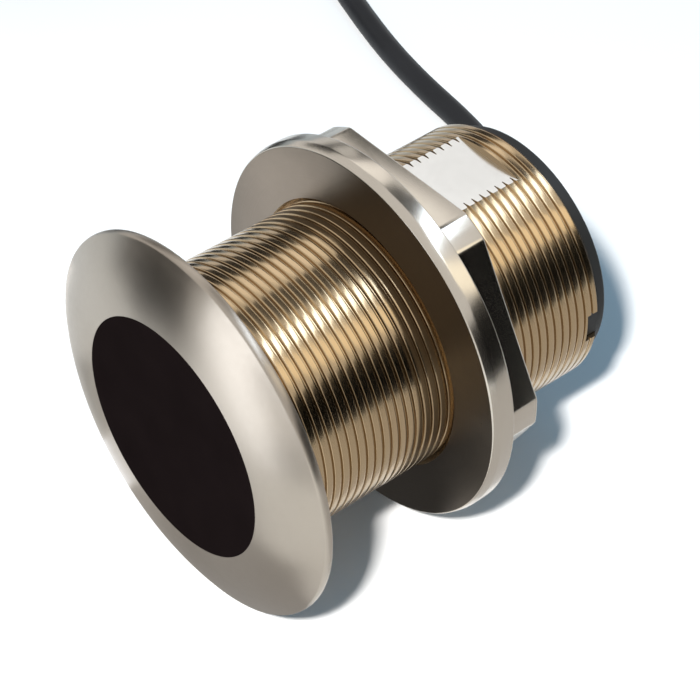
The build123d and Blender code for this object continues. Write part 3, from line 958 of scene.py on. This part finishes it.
ferrite = celled("ferrite", (0.05, 0.048, 0.046), grey(0.03), 4000.0, Roughness=0.6)
finishes = {
    "acoustic_window": windowUrethane,
    "rear_cap": capPlastic,
    "cable_bush": moulded("bushRubber", grey(0.012), grey(0.02), 0.55, grainScale=1200.0),
    "ceramic_disc": celled("piezoCeramic", (0.62, 0.58, 0.5), (0.5, 0.46, 0.4), 5000.0, Roughness=0.5),
    "cork_sleeve": celled("cork", (0.5, 0.32, 0.17), (0.22, 0.12, 0.06), 1400.0, wallWidth=0.2, Roughness=0.85),
    "backing_disc": celled("backingFoam", (0.09, 0.09, 0.1), (0.04, 0.04, 0.045), 1100.0, Roughness=0.8),
    "solder_joints": bronze("silverSolder", (0.72, 0.71, 0.69), (0.55, 0.54, 0.52), 0.3, patchScale=400.0),
    "signal_lead": moulded("leadRed", (0.35, 0.02, 0.015), (0.28, 0.02, 0.015), 0.4),
    "ground_lead": moulded("leadBlack", grey(0.015), grey(0.03), 0.4),
    "core_front": ferrite,
    "core_rear": ferrite,
    "bobbin": moulded("bobbinPlastic", (0.6, 0.58, 0.52), (0.5, 0.48, 0.42), 0.4),
    # the winding's dark lines between its turns are painted shade
    "winding": lined("enamelledWire", (0.42, 0.16, 0.06), (0.16, 0.05, 0.02), (2500.0, 0, 0), Roughness=0.3),
    "winding_leads": moulded("wireEnamel", (0.38, 0.14, 0.05), (0.3, 0.1, 0.04), 0.3),
    "circuit_board": lined(
        "laminate", (0.03, 0.16, 0.06), (0.02, 0.1, 0.04), grey(1500.0), strength=0.1, Roughness=0.35
    ),
    "processor_chip": moulded("chipEpoxy", (0.02, 0.02, 0.022), grey(0.03), 0.5, grainScale=5000.0),
    "capacitors": celled("capacitorCeramic", (0.42, 0.3, 0.16), (0.34, 0.24, 0.13), 6000.0, Roughness=0.4),
    "board_terminals": bronze("terminalBrass", (0.75, 0.58, 0.28), (0.6, 0.44, 0.2), 0.3, patchScale=400.0),
    "cable_conductors": moulded("conductorSkin", (0.4, 0.38, 0.34), (0.3, 0.28, 0.25), 0.4),
    "cable_inner": cableJacket,
    "anchor_ferrule": bronze("ferruleSteel", grey(0.6), grey(0.45), 0.35, patchScale=300.0),
    "potting_fill": moulded("pottingResin", (0.03, 0.026, 0.022), (0.045, 0.04, 0.034), 0.3),
    "coil_ties": moulded("tieNylon", grey(0.018), grey(0.03), 0.35),
    # the grip's darker knurl grooves are painted shade
    "connector_grip": lined(
        "gripPlastic", (0.022, 0.022, 0.023), grey(0.014), (0, 0, 450.0), strength=0.5, Roughness=0.5
    ),
    "coupling_ring": bronze("ringNickel", (0.68, 0.66, 0.62), (0.5, 0.48, 0.45), 0.25, patchScale=200.0),
    "connector_insert": moulded("insertPlastic", grey(0.02), grey(0.03), 0.4),
    "contact_pins": bronze("contactGold", (0.9, 0.68, 0.28), (0.75, 0.55, 0.22), 0.2, patchScale=800.0),
}
for node, finish in finishes.items():
    paint(node, finish)
print("pieces painted", len(finishes))

# Floor, lamp, the cards that the metal mirrors, and the background
floor = {"size": 6.0, "colour": (0.93, 0.93, 0.93, 1), "roughness": 0.9}
keyLamp = {
    "rise": 49,
    "turn": 143.6,
    "distance": 1.1,
    "size": 0.07,
    "power": 18.5,
    "colour": (1, 0.98, 0.95),
}
background = {
    "fill": (0.5, 0.77, 1.0, 1),
    "fillStrength": 0.4,
    "backdrop": (1, 1, 1, 1),
    "backdropStrength": 1.0,
}
white = (1.0, 1.0, 1.0)
cool = (0.8, 0.95, 1.15)
pale = (0.93, 1.0, 1.1)
warm = (1.0, 0.95, 0.82)
# cards that only the metal mirrors: the light and dark bands on the stem, then those on the flange and the nut
cards = {
    "stripCard": {
        "rise": 59,
        "turn": 24,
        "distance": 0.6,
        "size": (0.11, 0.5),
        "lean": 60,
        "glow": 5.6,
        "tint": cool,
    },
    "goldCard": {
        "rise": 43,
        "turn": 51,
        "distance": 0.7,
        "size": (0.2, 0.5),
        "lean": 45,
        "glow": 2.0,
        "tint": warm,
    },
    "backCard": {"rise": 45, "turn": -50, "distance": 0.9, "size": (0.3, 0.3), "glow": 1.7},
    "darkRight": {"rise": 12, "turn": 62, "distance": 0.3, "size": (0.5, 0.2), "glow": 0.0},
    "darkBack": {"rise": 23, "turn": -60, "distance": 0.9, "size": (0.6, 0.34), "glow": 0.05},
    "darkTop": {"rise": 60, "turn": -20, "distance": 0.9, "size": (0.32, 0.3), "glow": 0.1},
    "leftCard": {"rise": 4, "turn": -179, "distance": 0.104, "size": (0.038, 0.1), "glow": 3.6, "tint": pale},
    "darkLeft": {"rise": 6, "turn": -150, "distance": 0.115, "size": (0.04, 0.1), "glow": 0.0},
    "darkFar": {"rise": 6, "turn": -137, "distance": 0.17, "size": (0.06, 0.1), "glow": 0.1},
    "faceCard": {"rise": -10, "turn": -116.6, "distance": 0.057, "size": (0.024, 0.03), "glow": 2.6},
    "rimCard": {"rise": 36.6, "turn": -56.8, "distance": 0.125, "size": (0.018, 0.026), "glow": 0.9},
}
# cards that lie on the floor, seen only in the metal's mirror: painted shade under the flange and the nut, a
# dimmer stretch of floor towards -Y, dark patches in front of the flange, and a bright patch for the flange's
# wedge; each span is the least and the greatest X, the least and the greatest Y
floorCardHeight = 0.0005
floorCards = {
    "shadeUnderFlange": {"span": (-0.06, -0.03, -0.03, 0.024), "glow": 0.55},
    "shadeUnderNut": {"span": (-0.03, 0.0, -0.02, 0.024), "glow": 0.17},
    "nearFloor": {"span": (-0.02, 0.16, -0.27, -0.03), "glow": 0.76},
    "darkEdge": {"span": (-0.24, -0.13, -0.07, -0.015), "glow": 0.15},
    "wedgeCard": {"span": (-0.05, -0.02, 0.025, 0.038), "glow": 2.4, "tint": pale},
    "darkUnder": {"span": (-0.06, -0.047, 0.039, 0.062), "glow": 0.1},
}


def aroundStem(rise, turn, distance):
    # turn counts from +X towards -Y
    flat = distance * cos(radians(rise))
    height = axisHeight + distance * sin(radians(rise))
    return Vector((flat * cos(radians(turn)), -flat * sin(radians(turn)), height))


def faceStem(place):
    return (Vector((0, 0, axisHeight)) - place).to_track_quat("-Z", "Y").to_euler()


def makeFloor():
    deselect()
    bpy.ops.mesh.primitive_plane_add(size=floor["size"], location=(0, 0, 0))
    plane = bpy.context.object
    plane.name = "floor"
    material, _, shader = newMaterial("floorPaint", Roughness=floor["roughness"], Specular_IOR_Level=0.0)
    shader.inputs["Base Color"].default_value = floor["colour"]
    plane.data.materials.append(material)


def makeLamp():
    data = bpy.data.lights.new("keyLamp", "AREA")
    data.shape = "SQUARE"
    data.size = keyLamp["size"]
    data.energy = keyLamp["power"]
    data.color = keyLamp["colour"]
    lamp = bpy.data.objects.new("keyLamp", data)
    lamp.location = aroundStem(keyLamp["rise"], keyLamp["turn"], keyLamp["distance"])
    lamp.rotation_euler = faceStem(lamp.location)
    lamp.visible_glossy = False
    bpy.context.scene.collection.objects.link(lamp)


def glowCard(plane, name, card):
    plane.name = name
    material = bpy.data.materials.new(name)
    material.use_nodes = True
    tree = material.node_tree
    tree.nodes.clear()
    tint = card.get("tint", white)
    glow = addNode(tree, "ShaderNodeEmission", Color=(*tint, 1), Strength=card["glow"])
    end = addNode(tree, "ShaderNodeOutputMaterial")
    tree.links.new(glow.outputs[0], end.inputs[0])
    plane.data.materials.append(material)
    plane.visible_camera = plane.visible_diffuse = plane.visible_shadow = False


def makeCards():
    for name, card in cards.items():
        deselect()
        place = aroundStem(card["rise"], card["turn"], card["distance"])
        bpy.ops.mesh.primitive_plane_add(size=1, location=place)
        plane = bpy.context.object
        plane.scale = (*card["size"], 1)
        facing = faceStem(place).to_matrix() @ Matrix.Rotation(radians(card.get("lean", 0)), 3, "Z")
        plane.rotation_euler = facing.to_euler()
        glowCard(plane, name, card)
    for name, card in floorCards.items():
        deselect()
        left, right, near, far = card["span"]
        centre = ((left + right) / 2, (near + far) / 2, floorCardHeight)
        bpy.ops.mesh.primitive_plane_add(size=1, location=centre)
        plane = bpy.context.object
        plane.scale = (right - left, far - near, 1)
        glowCard(plane, name, card)


def makeWorld():
    # the camera, mirrors and clear pieces see the backdrop, and the fill lights all the rest
    world = bpy.data.worlds.new("studio")
    bpy.context.scene.world = world
    world.use_nodes = True
    tree = world.node_tree
    tree.nodes.clear()
    fill = addNode(
        tree, "ShaderNodeBackground", Color=background["fill"], Strength=background["fillStrength"]
    )
    backdrop = addNode(
        tree, "ShaderNodeBackground", Color=background["backdrop"], Strength=background["backdropStrength"]
    )
    rays = addNode(tree, "ShaderNodeLightPath")
    seen = rays.outputs["Is Camera Ray"]
    for kind in ("Is Glossy Ray", "Is Transmission Ray"):
        either = addNode(tree, "ShaderNodeMath", {"operation": "MAXIMUM"}, i0=seen, i1=rays.outputs[kind])
        seen = either.outputs[0]
    mixed = addNode(tree, "ShaderNodeMixShader", i0=seen, i1=fill.outputs[0], i2=backdrop.outputs[0])
    end = addNode(tree, "ShaderNodeOutputWorld")
    tree.links.new(mixed.outputs[0], end.inputs[0])


makeFloor()
makeLamp()
makeCards()
makeWorld()
bpy.context.scene.view_settings.view_transform = "Standard"
print("stage made")
